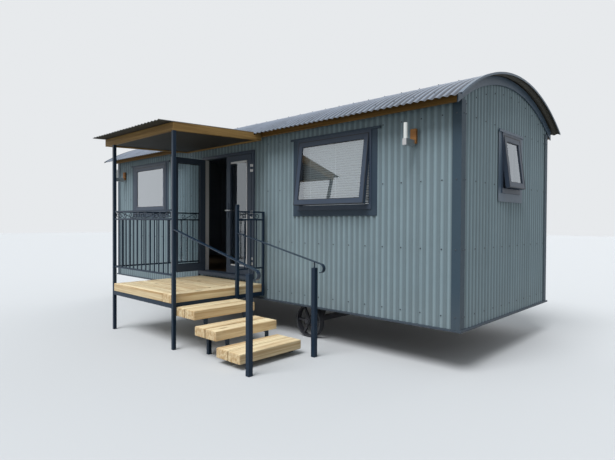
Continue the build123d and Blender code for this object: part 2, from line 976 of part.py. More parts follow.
def step_top(number):
    """Height of a step's tread, counted down from the deck."""
    return (step_count + 1 - number) * step_rise


tread_width = (step_going - sleeper_gap) / 2
with BuildPart() as step_treads:
    for number in range(1, step_count + 1):
        for sleeper in range(2):
            x_start = step_left(number) + sleeper * (tread_width + sleeper_gap)
            top = step_top(number)
            add(
                box_between(
                    (x_start, x_start + tread_width - sleeper_gap / 2),
                    (step_near_y, step_far_y),
                    (top - sleeper_thickness, top),
                )
            )
step_treads.part.label = "step_treads"

with BuildPart() as step_supports:
    for support_y in support_ys:
        y_range = (support_y - bearer_width / 2, support_y + bearer_width / 2)
        hung_from = beam_bottom
        for number in range(1, step_count + 1):
            bearer_top = step_top(number) - sleeper_thickness
            bearer_bottom = bearer_top - bearer_thickness
            bearer_left = step_left(number) - sleeper_gap
            add(
                box_between(
                    (bearer_left, bearer_left + step_going), y_range, (bearer_bottom, bearer_top)
                )
            )
            add(
                box_between(
                    (bearer_left - bearer_thickness, bearer_left),
                    y_range,
                    (bearer_bottom, hung_from),
                )
            )
            hung_from = bearer_bottom
            if number > 1:
                add(
                    box_between(
                        (bearer_left + post_size, bearer_left + 2 * post_size),
                        (support_y - post_size / 2, support_y + post_size / 2),
                        (0, bearer_bottom),
                    )
                )
step_supports.part.label = "step_supports"

# Newels and handrails
with BuildPart() as newels:
    for newel_y in (post_y, rail_back_y):
        with BuildSketch(Plane.XY):
            with Locations((newel_x, newel_y)):
                Rectangle(newel_size, newel_size)
        extrude(amount=newel_height)
newels.part.label = "newels"

with BuildPart() as railing_posts:
    with BuildSketch(Plane.XY.offset(beam_bottom)):
        with Locations((right_post_x, rail_back_y)):
            Rectangle(post_size, post_size)
    extrude(amount=deck_top + upper_newel_rise - beam_bottom)
    for post_x in (right_post_x, left_post_x):
        with BuildSketch(Plane.XY.offset(beam_bottom)):
            with Locations((post_x, front_y - wall_post_back)):
                Rectangle(wall_post_size, wall_post_size)
        extrude(amount=railing_top - beam_bottom)
railing_posts.part.label = "railing_posts"


def handrail(y, start_height):
    """Flat rail from an upper post past its newel, ending in a downward scroll."""
    start_x = right_post_x + post_size / 2
    fall = (start_height - newel_height - handrail_above_newel) / (newel_x - start_x)
    run_length = (newel_x + 2 * newel_size - start_x) * sqrt(1 + fall**2)
    run_plane = Plane(origin=(start_x, y, start_height), x_dir=(0, 1, 0), z_dir=(1, 0, -fall))
    scroll_plane = run_plane.offset(run_length)
    downward = Vector(0, 1, 0).cross(run_plane.z_dir)
    scroll_axis = Axis(scroll_plane.origin + downward * scroll_radius, (0, 1, 0))
    with BuildPart() as rail:
        with BuildSketch(run_plane.offset(-handrail_thickness)):
            Rectangle(handrail_width, handrail_thickness)
        extrude(amount=run_length + handrail_thickness)
        with BuildSketch(scroll_plane):
            Rectangle(handrail_width, handrail_thickness)
        revolve(axis=scroll_axis, revolution_arc=180)
        with BuildSketch(Plane.XY.offset(newel_height)):
            with Locations((newel_x, y)):
                Circle(handrail_pin_radius)
        extrude(amount=handrail_above_newel)
        add(
            box_between(
                (right_post_x - post_size / 2, start_x),
                (y - handrail_width / 2, y + handrail_width / 2),
                (start_height - post_size, start_height + post_size),
            ),
            mode=Mode.SUBTRACT,
        )
    return rail.part


with BuildPart() as handrail_front:
    add(handrail(post_y, deck_top + front_rail_rise))
handrail_front.part.label = "handrail_front"

with BuildPart() as handrail_rear:
    add(handrail(rail_back_y, deck_top + rear_rail_rise))
handrail_rear.part.label = "handrail_rear"


# Railings: balusters between flat rails, under a frieze of lying S-scrolls
frieze_height = railing_top - rail_bar - railing_second


def scroll_outline(hand):
    """Outline of a lying S-scroll, two spirals joined by a slanting bar; hand is 1 or -1."""
    outer = (frieze_height - frieze_bar) / 2 + frieze_sink
    lean = degrees(asin(outer / (frieze_span / 2)))
    steps = frieze_turn // frieze_step
    outside = []
    inside = []
    for step in range(steps, -1, -1):
        angle = radians(90 - lean + step * frieze_step)
        radius = outer - (outer - frieze_eye) * step / steps
        for side, reach in ((outside, radius + frieze_bar / 2), (inside, radius - frieze_bar / 2)):
            side.append((reach * cos(angle) - frieze_span / 2, reach * sin(angle)))
    first_edge = outside + [(-x, -y) for x, y in reversed(inside)]
    second_edge = inside + [(-x, -y) for x, y in reversed(outside)]
    return [(hand * x, y) for x, y in first_edge + second_edge[::-1]]


def railing(start, end):
    """Railing panel between two plan points along one of the axes."""
    (x0, y0), (x1, y1) = start, end
    length = abs(x1 - x0) + abs(y1 - y0)
    count = int(length // baluster_pitch)
    along = Vector(x1 - x0, y1 - y0, 0).normalized()
    frieze_plane = Plane(
        origin=(x0, y0, railing_second + frieze_height / 2),
        x_dir=along,
        z_dir=along.cross(Vector(0, 0, 1)),
    )
    scroll_count = round(length / frieze_pitch)
    with BuildPart() as panel:
        for height in (railing_top, railing_second, railing_bottom):
            with Locations(((x0 + x1) / 2, (y0 + y1) / 2, height - rail_bar / 2)):
                Box(max(abs(x1 - x0), rail_bar), max(abs(y1 - y0), rail_bar), rail_bar)
        for number in range(1, count + 1):
            share = number / (count + 1)
            place = (x0 + share * (x1 - x0), y0 + share * (y1 - y0), railing_bottom - rail_bar)
            with Locations(place):
                Box(
                    baluster_bar,
                    baluster_bar,
                    railing_second - railing_bottom + rail_bar,
                    align=(Align.CENTER, Align.CENTER, Align.MIN),
                )
        for number in range(scroll_count):
            with BuildSketch(frieze_plane):
                with Locations(((number + 0.5) * length / scroll_count, 0)):
                    Polygon(*scroll_outline((-1) ** number), align=None)
            extrude(amount=frieze_thickness / 2, both=True)
    return panel.part


with BuildPart() as railing_front:
    add(railing((left_post_x + post_size / 2, post_y), (right_post_x - post_size / 2, post_y)))
railing_front.part.label = "railing_front"

with BuildPart() as railing_left:
    add(
        railing(
            (left_post_x, post_y + post_size / 2),
            (left_post_x, front_y - wall_post_back - wall_post_size / 2),
        )
    )
railing_left.part.label = "railing_left"

with BuildPart() as railing_right:
    add(
        railing(
            (right_post_x, rail_back_y + post_size / 2),
            (right_post_x, front_y - wall_post_back - wall_post_size / 2),
        )
    )
railing_right.part.label = "railing_right"

# Chassis, axles and wheels
chassis_bottom = floor_underside - rail_depth
front_rail_y = front_y + rail_inset
back_rail_y = back_y - rail_inset
cross_gap = 2 * inner_right / (cross_member_count + 1)
with BuildPart() as chassis_rails:
    for rail_y in (front_rail_y, back_rail_y):
        add(
            box_between(
                (-inner_right, inner_right),
                (rail_y - rail_width / 2, rail_y + rail_width / 2),
                (chassis_bottom, floor_underside),
            )
        )
chassis_rails.part.label = "chassis_rails"

with BuildPart() as cross_members:
    for number in range(1, cross_member_count + 1):
        cross_x = -inner_right + number * cross_gap
        add(
            box_between(
                (cross_x - rail_width / 2, cross_x + rail_width / 2),
                (front_rail_y + rail_width / 2, back_rail_y - rail_width / 2),
                (chassis_bottom, floor_underside),
            )
        )
cross_members.part.label = "cross_members"

axle_x = right_end - axle_from_end
hub_outset = (hub_length - wheel_width) / 2
stub_end = front_y + wheel_face_inset - hub_outset - hinge_running_gap
stub_root = stub_end + hub_length + 2 * hinge_running_gap
stub_end_back = back_y + front_y - stub_end
stub_root_back = back_y + front_y - stub_root
across = Plane(origin=(0, 0, 0), x_dir=(1, 0, 0), z_dir=(0, 1, 0))
with BuildPart() as axles:
    for x in (axle_x, -axle_x):
        add(
            box_between(
                (x - axle_size / 2, x + axle_size / 2),
                (stub_root, stub_root_back),
                (wheel_radius - axle_size / 2, wheel_radius + axle_size / 2),
            )
        )
        with BuildSketch(across.offset(stub_end - cap_length)):
            with Locations((x, -wheel_radius)):
                Circle(stub_radius)
        extrude(amount=stub_end_back - stub_end + 2 * cap_length)
        for cap_y in (stub_end - cap_length, stub_end_back):
            with BuildSketch(across.offset(cap_y)):
                with Locations((x, -wheel_radius)):
                    Circle(cap_radius)
            extrude(amount=cap_length)
axles.part.label = "axles"

axle_top = wheel_radius + axle_size / 2
with BuildPart() as axle_brackets:
    for x in (axle_x, -axle_x):
        for rail_y in (front_rail_y, back_rail_y):
            with BuildSketch(Plane.XZ.offset(-rail_y - rail_width / 2)):
                with BuildLine():
                    Polyline(
                        (x - bracket_foot_width / 2, axle_top),
                        (x + bracket_foot_width / 2, axle_top),
                        (x + bracket_top_width / 2, chassis_bottom),
                        (x - bracket_top_width / 2, chassis_bottom),
                        close=True,
                    )
                make_face()
            extrude(amount=rail_width)
axle_brackets.part.label = "axle_brackets"


def wheel(x, face_y):
    """Spoked cast wheel with its outer face at a place across the hut."""
    rim_plane = Plane(origin=(x, face_y, wheel_radius), x_dir=(1, 0, 0), z_dir=(0, 1, 0))
    with BuildPart() as cast:
        with BuildSketch(rim_plane):
            Circle(wheel_radius)
            Circle(wheel_radius - rim_thickness, mode=Mode.SUBTRACT)
        extrude(amount=wheel_width)
        with BuildSketch(rim_plane.offset((wheel_width - spoke_thickness) / 2)):
            with PolarLocations(0, spoke_count):
                with Locations((wheel_radius / 2, 0)):
                    Rectangle(wheel_radius - rim_thickness, spoke_width)
        extrude(amount=spoke_thickness)
        with BuildSketch(rim_plane.offset(-hub_outset)):
            Circle(hub_radius)
        extrude(amount=hub_length)
        with BuildSketch(rim_plane.offset(-hub_outset)):
            Circle(stub_radius + stub_running_gap)
        extrude(amount=hub_length, mode=Mode.SUBTRACT)
    return cast.part


wheels = []
front_face = front_y + wheel_face_inset
back_face = back_y - wheel_face_inset - wheel_width
for wheel_name, x, face_y in (
    ("wheel_front_right", axle_x, front_face),
    ("wheel_front_left", -axle_x, front_face),
    ("wheel_back_right", axle_x, back_face),
    ("wheel_back_left", -axle_x, back_face),
):
    with BuildPart() as wheel_part:
        add(wheel(x, face_y))
    wheel_part.part.label = wheel_name
    wheels.append(wheel_part)

# Wall lamps: a timber block, a metal arm and an upright glass tube
lamp_axis_y = front_y - lamp_arm_reach
lamp_places = (right_end - right_lamp_from_end, left_end + left_lamp_from_left)
lamp_block_bottom = eave_height - lamp_drop
with BuildPart() as lamp_blocks:
    for x in lamp_places:
        add(
            box_between(
                (x - lamp_block_width / 2, x + lamp_block_width / 2),
                (front_y - lamp_block_thickness, front_y),
                (lamp_block_bottom, lamp_block_bottom + lamp_block_height),
            )
        )
lamp_blocks.part.label = "lamp_blocks"

arm_bottom = lamp_block_bottom - lamp_arm_below
with BuildPart() as lamp_arms:
    for x in lamp_places:
        add(
            box_between(
                (x - lamp_arm_width / 2, x + lamp_arm_width / 2),
                (lamp_axis_y - lamp_arm_width / 2, front_y - lamp_block_thickness),
                (arm_bottom, arm_bottom + lamp_arm_height),
            )
        )
lamp_arms.part.label = "lamp_arms"

with BuildPart() as lamp_tubes:
    for x in lamp_places:
        with BuildSketch(Plane.XY.offset(arm_bottom + lamp_arm_height)):
            with Locations((x, lamp_axis_y)):
                Circle(lamp_tube_radius)
        extrude(amount=lamp_tube_length)
lamp_tubes.part.label = "lamp_tubes"

os.makedirs("parts", exist_ok=True)
pieces = [
    floor,
    front_wall_left,
    front_wall_right,
    front_wall_over_door,
    front_wall_under_door,
    back_wall,
    gable_wall_right,
    gable_wall_left,
    roof_arch,
    roof_sheets,
    verge_bands,
    verge_flashings,
    front_cladding,
    back_cladding,
    gable_claddings,
    eave_fascias,
    corner_flashings,
    base_flashings,
    gable_base_flashings,
    window_frames,
    window_sashes,
    window_panes,
    window_trims,
    window_blind,
    door_frame,
    door_hinges,
    door_leaf_left,
    door_glass_left,
    door_leaf_right,
    door_glass_right,
    door_handle,
    door_threshold,
    deck_sleepers,
    deck_beams,
    deck_joists,
    canopy_frame,
    canopy_soffit,
    canopy_sheet,
    canopy_posts,
    step_treads,
    step_supports,
    newels,
    railing_posts,
    handrail_front,
    handrail_rear,
    railing_front,
    railing_left,
    railing_right,
    chassis_rails,
    cross_members,
    axles,
    axle_brackets,
    *wheels,
    lamp_blocks,
    lamp_arms,
    lamp_tubes,
]
for piece in pieces:
    export_step(piece.part, f"parts/{piece.part.label}.step")
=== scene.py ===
"""Finishes, corrugated sheets, fixings and small fittings of the shepherd's hut, in metres."""

import random
from math import asin, ceil, cos, pi, radians, sin, sqrt

import bmesh
import bpy
from mathutils import Matrix, Vector


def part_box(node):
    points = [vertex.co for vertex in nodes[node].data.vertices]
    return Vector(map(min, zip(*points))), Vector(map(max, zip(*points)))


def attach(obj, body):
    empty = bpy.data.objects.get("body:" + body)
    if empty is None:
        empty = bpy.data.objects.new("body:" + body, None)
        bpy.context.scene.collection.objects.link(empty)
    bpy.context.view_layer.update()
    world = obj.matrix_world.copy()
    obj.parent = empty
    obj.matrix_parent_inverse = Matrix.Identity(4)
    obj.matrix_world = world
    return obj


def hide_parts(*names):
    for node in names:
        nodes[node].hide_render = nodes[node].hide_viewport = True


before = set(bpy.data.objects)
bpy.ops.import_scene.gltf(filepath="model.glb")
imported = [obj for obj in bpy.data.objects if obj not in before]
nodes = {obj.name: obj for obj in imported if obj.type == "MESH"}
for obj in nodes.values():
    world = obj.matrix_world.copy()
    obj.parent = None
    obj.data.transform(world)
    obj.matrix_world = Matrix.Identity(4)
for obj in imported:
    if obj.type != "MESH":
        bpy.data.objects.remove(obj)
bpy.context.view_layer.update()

# Camera, at the photograph's place and angle
camera_place = Vector((5.573, -4.785, 1.445))
camera_yaw = radians(43.37)
camera_pitch = radians(0.885)
camera_roll = radians(0.276)
camera_lens = 27.67

# Corrugated sheets
sheet_pitch = 0.0762
sheet_wave = 0.0172
sheet_gauge = 0.0012
sheet_clearance = 0.0004
# The sheet's map holds each corner's run and its share of painted valley shade
sheet_map = "sheet"
steps_per_wave = 10
lap_every = 8 * sheet_pitch
lap_step = 0.002
# Width of each lap's step down, which also carries the lap's painted shadow line
lap_edge = 0.0004
roof_arc_steps = 26
canopy_trim = 0.001
canopy_front = 0.01

# Fixings
screw_radius = 0.0055
screw_height = 0.005
screw_taper = 0.9
washer_radius = 0.008
washer_height = 0.0015
washer_lift = 0.0005
screw_spacing = 3 * sheet_pitch
wall_screw_heights = (0.548, 1.193, 1.863, 2.49)
wall_screw_margin = 0.1
gable_screw_margin = 0.05
gable_screw_drop = 0.12
roof_screw_rows = (0.05, 0.23, 0.41, 0.59, 0.77, 0.95)
roof_screw_margin = 0.15
roof_screw_rise = 0.003
corner_screw_inset = 0.05
opening_margin = 0.12
opening_head_margin = 0.05

# Venetian blind
slat_width = 0.034
slat_pitch = 0.0285
slat_tilt = radians(38)
slat_crown = 0.004
slat_gauge = 0.0006
slat_shares = (-0.5, -0.25, 0.0, 0.25, 0.5)
blind_side = 0.036
blind_head = 0.035
blind_foot = 0.062
first_slat_drop = 0.03
last_slat_rise = 0.02
head_rail_depth, head_rail_height, head_rail_drop = 0.024, 0.026, 0.014
foot_rail_depth, foot_rail_height = 0.020, 0.012
cord_size = 0.0022
cord_shares = (0.12, 0.5, 0.88)

# Sleepers
sleeper_bevel = 0.004
sleeper_gap = 0.004
sleeper_slice = 0.09
sleeper_unevenness = 0.0012
sleeper_seed = 40

# Seals and spacer bars of the panes: the seals round the sashes partly painted shadow, the spacer
# bars painted highlights
seal_width = 0.007
seal_height = 0.0015
seal_lift = 0.0003
# Widths of the pale bars that stand in as painted highlights in the right leaf's glass
spacer_highlight_side = 0.028
spacer_highlight_foot = 0.02

# Edges: the turn from which one is sharp, and the reach within which corners are one
sheet_sharp = radians(55)
sleeper_sharp = radians(50)
eased_sharp = radians(40)
weld_reach = 0.00001

# Bands and facing that pick a face or a pane by its place
front_band = 0.1
gable_band = 0.3
doorway_side = 0.3
leaf_edge = 0.002
handle_plate = 0.001
square_on = 0.9

# Looks
low_sheen = {"Specular IOR Level": 0.22}
noise_roughness = 0.55
timber_roughness = 0.62
# Share of a colour left at the bottom of a corrugated valley: painted shade
valley_shade_share = 0.22
knot_share = 0.42
dust_low, dust_high = 0.42, 0.85

# Stage
backdrop_colour = (0.80, 0.82, 0.84, 1)
ambient_colour = (0.93, 0.97, 1.0, 1)
ambient_strength = 0.52
floor_colour = (0.53, 0.55, 0.57, 1)
floor_bounce = (0.18, 0.19, 0.18, 1)
floor_size = 60


def srgb(red, green, blue):
    """Linear colour of an eight-bit one."""
    linear = []
    for part in (red, green, blue):
        share = part / 255
        linear.append(share / 12.92 if share <= 0.04045 else ((share + 0.055) / 1.055) ** 2.4)
    return (*linear, 1.0)


def shaded(colour, share):
    """Colour made darker or lighter by a share."""
    return tuple(min(1.0, part * share) for part in colour[:3]) + (1.0,)


def add_node(tree, kind, inputs=None, **settings):
    """Shader node with its settings and inputs; an input is a value or another node's socket."""
    made = tree.nodes.new(kind)
    for key, value in settings.items():
        setattr(made, key, value)
    for key, value in (inputs or {}).items():
        if isinstance(value, bpy.types.NodeSocket):
            tree.links.new(value, made.inputs[key])
        else:
            made.inputs[key].default_value = value
    return made


def empty_material(name):
    """Material with nothing but the surface input of its output."""
    made = bpy.data.materials.new(name)
    made.use_nodes = True
    tree = made.node_tree
    tree.nodes.clear()
    return made, tree, add_node(tree, "ShaderNodeOutputMaterial").inputs["Surface"]


def start_material(name, **shader_inputs):
    """Material with its shader and the object's own coordinates."""
    made, tree, surface = empty_material(name)
    shader = add_node(tree, "ShaderNodeBsdfPrincipled", shader_inputs)
    tree.links.new(shader.outputs["BSDF"], surface)
    return made, tree, shader, add_node(tree, "ShaderNodeTexCoord").outputs["Object"]


def noise(tree, vector, scale, detail=3.0, distortion=0.0):
    """Noise value at a scale in repeats per metre."""
    inputs = {"Vector": vector, "Scale": scale, "Detail": detail, "Distortion": distortion}
    made = add_node(tree, "ShaderNodeTexNoise", inputs)
    made.inputs["Roughness"].default_value = noise_roughness
    return made.outputs["Fac"]


def stretched(tree, vector, scale):
    """Coordinates scaled by axis, so that a pattern runs along one of them."""
    made = add_node(tree, "ShaderNodeMapping", {"Vector": vector, "Scale": scale})
    return made.outputs["Vector"]


def part_of(tree, vector, axis):
    """One part of a vector, by the letter of its axis."""
    return add_node(tree, "ShaderNodeSeparateXYZ", {"Vector": vector}).outputs[axis]


def maths(tree, operation, first, second=0.0):
    """Result of an operation on one or two numbers, each a value or a socket."""
    return add_node(tree, "ShaderNodeMath", {0: first, 1: second}, operation=operation).outputs[0]


def spread(tree, value, low, high, to_low=0.0, to_high=1.0):
    """Value remapped from one range to another and clamped."""
    inputs = {"Value": value, "From Min": low, "From Max": high, "To Min": to_low, "To Max": to_high}
    return add_node(tree, "ShaderNodeMapRange", inputs).outputs["Result"]


def mix(tree, share, first, second):
    """Mix of two colours; the node's sockets are picked by place, because their names repeat."""
    made = add_node(tree, "ShaderNodeMix", {0: share, 6: first, 7: second}, data_type="RGBA")
    return made.outputs[2]


def bump(tree, shader, height, strength, distance):
    """Bump from a height value, on top of any that the shader has."""
    inputs = {"Height": height, "Strength": strength, "Distance": distance}
    if shader.inputs["Normal"].links:
        inputs["Normal"] = shader.inputs["Normal"].links[0].from_socket
    made = add_node(tree, "ShaderNodeBump", inputs)
    tree.links.new(made.outputs["Normal"], shader.inputs["Normal"])


def painted(name, colour, roughness=0.45, patches=0.04, dust=0.0, valley_shade=0.0, **shader_inputs):
    """Coated metal with soft patches and orange peel, dust low down, and painted shade that darkens
    the valleys of corrugated sheets.
    """
    made, tree, shader, place = start_material(name, **shader_inputs)
    soft = noise(tree, place, scale=2.3, detail=5.0)
    lighter, darker = shaded(colour, 1 + patches), shaded(colour, 1 - patches)
    base = mix(tree, spread(tree, soft, low=0.35, high=0.65), darker, lighter)
    if dust:
        low_down = spread(tree, part_of(tree, place, "Z"), dust_low, dust_high, dust, 0.0)
        streaks = noise(tree, stretched(tree, place, (30, 30, 2.5)), scale=1.0)
        base = mix(tree, maths(tree, "MULTIPLY", low_down, streaks), base, srgb(148, 142, 132))
    # Painted shade: valleys darken with their depth, read from the sheet's map
    if valley_shade:
        sheet = add_node(tree, "ShaderNodeUVMap", uv_map=sheet_map).outputs["UV"]
        depth = spread(tree, part_of(tree, sheet, "Y"), low=0.05, high=0.65, to_high=valley_shade)
        base = mix(tree, depth, base, shaded(colour, valley_shade_share))
    tree.links.new(base, shader.inputs["Base Color"])
    rubbed = noise(tree, place, scale=14.0, detail=6.0)
    rubbed = spread(tree, rubbed, 0.3, 0.7, to_low=roughness - 0.03, to_high=roughness + 0.04)
    tree.links.new(rubbed, shader.inputs["Roughness"])
    peel = noise(tree, place, scale=500.0, detail=2.0)
    bump(tree, shader, peel, strength=0.04, distance=0.0006)
    return made


def along_beams(tree, place):
    """Coordinates whose first axis runs along a beam, whichever way the beam lies."""
    parts = add_node(tree, "ShaderNodeSeparateXYZ", {"Vector": place}).outputs
    swapped = {"X": parts["Y"], "Y": parts["X"], "Z": parts["Z"]}
    turned = add_node(tree, "ShaderNodeCombineXYZ", swapped).outputs["Vector"]
    normal = add_node(tree, "ShaderNodeTexCoord").outputs["Normal"]
    facing = maths(tree, "ABSOLUTE", part_of(tree, normal, "X"))
    return mix(tree, spread(tree, facing, low=0.4, high=0.6), place, turned)


def shifted(tree, place):
    """Coordinates moved by each object's own random number, so that no two pieces match."""
    identity = add_node(tree, "ShaderNodeObjectInfo").outputs["Random"]
    inputs = {0: (3.1, 1.7, 2.3), "Scale": identity}
    shift = add_node(tree, "ShaderNodeVectorMath", inputs, operation="SCALE").outputs["Vector"]
    moved = add_node(tree, "ShaderNodeVectorMath", {0: place, 1: shift}, operation="ADD")
    return moved.outputs["Vector"]


def timber(name, pale, dark, framed=False, sides=0.0):
    """Sawn timber with long grain, fine fibres and a few knots; sides gives painted shade on faces
    that don't face up.
    """
    made, tree, shader, place = start_material(name, Roughness=timber_roughness, **low_sheen)
    place = shifted(tree, along_beams(tree, place) if framed else place)
    fibres = noise(tree, stretched(tree, place, (5.0, 220.0, 220.0)), scale=1.0, detail=4.0)
    long_grain = stretched(tree, place, (0.7, 34.0, 34.0))
    grain = noise(tree, long_grain, scale=1.0, detail=5.0, distortion=0.4)
    broad = noise(tree, stretched(tree, place, (0.9, 8.0, 8.0)), scale=1.0, detail=3.0)
    base = mix(tree, spread(tree, grain, low=0.38, high=0.68, to_high=0.7), pale, dark)
    base = mix(tree, spread(tree, broad, low=0.45, high=0.7, to_high=0.4), base, dark)
    base = mix(tree, spread(tree, fibres, low=0.45, high=0.75, to_high=0.3), base, dark)
    cells = {"Vector": stretched(tree, place, (1.6, 5.5, 5.5)), "Scale": 1.0}
    knots = add_node(tree, "ShaderNodeTexVoronoi", cells).outputs["Distance"]
    knots = spread(tree, knots, low=0.05, high=0.13, to_low=0.8, to_high=0.0)
    base = mix(tree, knots, base, shaded(dark, knot_share))
    # Painted shade: faces turned away from the sky darken towards the dark timber colour
    if sides:
        normal = add_node(tree, "ShaderNodeTexCoord").outputs["Normal"]
        painted_side_shade = spread(tree, part_of(tree, normal, "Z"), 0.3, 0.7, sides, 0.0)
        base = mix(tree, painted_side_shade, base, dark)
    tree.links.new(base, shader.inputs["Base Color"])
    bump(tree, shader, fibres, strength=0.35, distance=0.0012)
    bump(tree, shader, grain, strength=0.15, distance=0.0008)
    return made


def clear_glass(name, least_gloss):
    """Thin clear glass that reflects as sheet glass does and lets light and shadows through."""
    made, tree, surface = empty_material(name)
    see_through = add_node(tree, "ShaderNodeBsdfTransparent", {"Color": (0.86, 0.89, 0.9, 1)})
    shine = {"Roughness": 0.02, "Color": (0.9, 0.95, 1, 1)}
    gloss = add_node(tree, "ShaderNodeBsdfGlossy", shine)
    fresnel = add_node(tree, "ShaderNodeFresnel", {"IOR": 1.55}).outputs["Fac"]
    fresnel = spread(tree, fresnel, low=0.0, high=1.0, to_low=least_gloss)
    inside = add_node(tree, "ShaderNodeNewGeometry").outputs["Backfacing"]
    share = maths(tree, "MULTIPLY", fresnel, maths(tree, "SUBTRACT", 1.0, inside))
    layers = {0: share, 1: see_through.outputs["BSDF"], 2: gloss.outputs["BSDF"]}
    tree.links.new(add_node(tree, "ShaderNodeMixShader", layers).outputs["Shader"], surface)
    return made


def metal(name, colour, roughness):
    """Bare metal with fine brushing."""
    made, tree, shader, place = start_material(name, Metallic=1.0, Roughness=roughness)
    shader.inputs["Base Color"].default_value = colour
    strokes = noise(tree, stretched(tree, place, (40, 40, 900)), scale=1.0)
    bump(tree, shader, strokes, strength=0.1, distance=0.0004)
    return made


def cast_iron(name, colour):
    """Painted casting with a coarse skin and a little rust."""
    made, tree, shader, place = start_material(name, Roughness=0.6)
    rust = noise(tree, place, scale=21.0, detail=6.0)
    rust = spread(tree, rust, low=0.6, high=0.75, to_high=0.5)
    tree.links.new(mix(tree, rust, colour, srgb(92, 66, 50)), shader.inputs["Base Color"])
    skin = noise(tree, place, scale=260.0, detail=4.0)
    bump(tree, shader, skin, strength=0.3, distance=0.0012)
    return made


# The valley share sets how strongly painted shade darkens each sheet's valleys
cladding_paint = painted("cladding_paint", srgb(131, 151, 160), 0.6, dust=0.2, valley_shade=0.46)
roof_paint = painted("roof_paint", srgb(120, 131, 148), 0.5, valley_shade=0.98)
# Painted shade: the undersides of the roof and canopy sheets, made dark olive as if in shade
under_roof_shade = painted("under_roof_shade", srgb(58, 54, 44), 0.7)
canopy_paint = painted("canopy_paint", srgb(52, 57, 60), 0.55, valley_shade=0.6)
flashing_paint = painted("flashing_paint", srgb(52, 66, 80), 0.5, dust=0.15, **low_sheen)
corner_paint = painted("corner_paint", srgb(58, 75, 88), 0.5, dust=0.15, **low_sheen)
verge_paint = painted("verge_paint", srgb(72, 90, 108), 0.45)
frame_paint = painted("frame_paint", srgb(60, 71, 87), 0.4, **low_sheen)
white_foil = painted("white_foil", srgb(214, 216, 220), 0.35, patches=0.03)
post_paint = painted("post_paint", srgb(24, 42, 60), 0.38, **low_sheen)
rail_paint = painted("rail_paint", srgb(24, 42, 60), 0.24)
chassis_paint = painted("chassis_paint", srgb(34, 34, 36), 0.6)
lining_paint = painted("lining_paint", srgb(120, 128, 140), 0.8)
slat_paint = painted("slat_paint", srgb(244, 247, 250), 0.45, patches=0.02)
screw_paint = painted("screw_paint", srgb(64, 72, 80), 0.45)
fascia_timber = timber("fascia_timber", srgb(142, 106, 54), srgb(76, 54, 24))
canopy_timber = timber("canopy_timber", srgb(172, 138, 84), srgb(84, 58, 28), framed=True)
# Painted shade: the canopy soffit's timber made near black for the shade under the canopy
soffit_in_shade = timber("soffit_in_shade", srgb(44, 40, 33), srgb(28, 25, 20))
# The sleepers' fronts and ends get painted shade through sides
sleeper_timber = timber("sleeper_timber", srgb(253, 241, 204), srgb(164, 118, 60), sides=0.3)
floor_timber = timber("floor_timber", srgb(96, 78, 58), srgb(66, 50, 34))
lamp_timber = timber("lamp_timber", srgb(158, 112, 66), srgb(108, 68, 34))
pane_glass = clear_glass("pane_glass", 0.3)
blind_glass = clear_glass("blind_glass", 0.18)
door_glass = clear_glass("door_glass", 0.1)
lamp_opal = painted("lamp_opal", srgb(222, 226, 224), 0.25, patches=0.02)
brushed = metal("brushed", (0.5, 0.5, 0.5, 1), 0.34)
wheel_iron = cast_iron("wheel_iron", srgb(50, 52, 58))
# Black rubber of the glazing seals, also the painted shadow of the gap round each sash
seal_rubber_and_gap_shade = painted("seal_rubber_and_gap_shade", srgb(20, 22, 26), 0.55, patches=0.1)

# Widths of the small bevels that catch the light
eased = {
    "window_frames": 0.002,
    "window_sashes": 0.004,
    "door_frame": 0.002,
    "door_leaf_left": 0.004,
    "door_leaf_right": 0.004,
    "canopy_frame": 0.003,
    "canopy_posts": 0.003,
    "newels": 0.003,
    "railing_posts": 0.003,
    "eave_fascias": 0.003,
    "lamp_blocks": 0.003,
}

# Finish of each node
finishes = {
    "floor": floor_timber,
    "front_wall_left": lining_paint,
    "front_wall_right": lining_paint,
    "front_wall_over_door": lining_paint,
    "front_wall_under_door": lining_paint,
    "back_wall": lining_paint,
    "gable_wall_right": lining_paint,
    "gable_wall_left": lining_paint,
    "roof_arch": lining_paint,
    "roof_sheets": roof_paint,
    "verge_bands": verge_paint,
    "verge_flashings": verge_paint,
    "front_cladding": cladding_paint,
    "back_cladding": cladding_paint,
    "gable_claddings": cladding_paint,
    "eave_fascias": fascia_timber,
    "corner_flashings": corner_paint,
    "base_flashings": flashing_paint,
    "gable_base_flashings": flashing_paint,
    "window_frames": frame_paint,
    "window_sashes": frame_paint,
    "window_panes": pane_glass,
    "window_trims": flashing_paint,
    "window_blind": slat_paint,
    "door_frame": frame_paint,
    "door_hinges": brushed,
    "door_leaf_left": frame_paint,
    "door_glass_left": door_glass,
    "door_leaf_right": frame_paint,
    "door_glass_right": door_glass,
    "door_handle": brushed,
    "door_threshold": frame_paint,
    "deck_sleepers": sleeper_timber,
    "deck_beams": post_paint,
    "deck_joists": post_paint,
    "canopy_frame": canopy_timber,
    "canopy_soffit": soffit_in_shade,
    "canopy_sheet": canopy_paint,
    "canopy_posts": post_paint,
    "step_treads": sleeper_timber,
    "step_supports": post_paint,
    "newels": post_paint,
    "railing_posts": post_paint,
    "handrail_front": rail_paint,
    "handrail_rear": rail_paint,
    "railing_front": post_paint,
    "railing_left": post_paint,
    "railing_right": post_paint,
    "chassis_rails": chassis_paint,
    "cross_members": chassis_paint,
    "axles": wheel_iron,
    "axle_brackets": chassis_paint,
    "wheel_front_right": wheel_iron,
    "wheel_front_left": wheel_iron,
    "wheel_back_right": wheel_iron,
    "wheel_back_left": wheel_iron,
    "lamp_blocks": lamp_timber,
    "lamp_arms": brushed,
    "lamp_tubes": lamp_opal,
}
for node_name, finish in finishes.items():
    nodes[node_name].data.materials.clear()
    nodes[node_name].data.materials.append(finish)


def refinish(node_name, material, picks):
    """Second finish on the faces of a node that a test of their middle and normal picks."""
    mesh = nodes[node_name].data
    mesh.materials.append(material)
    for face in mesh.polygons:
        if picks(face.center, face.normal):
            face.material_index = 1


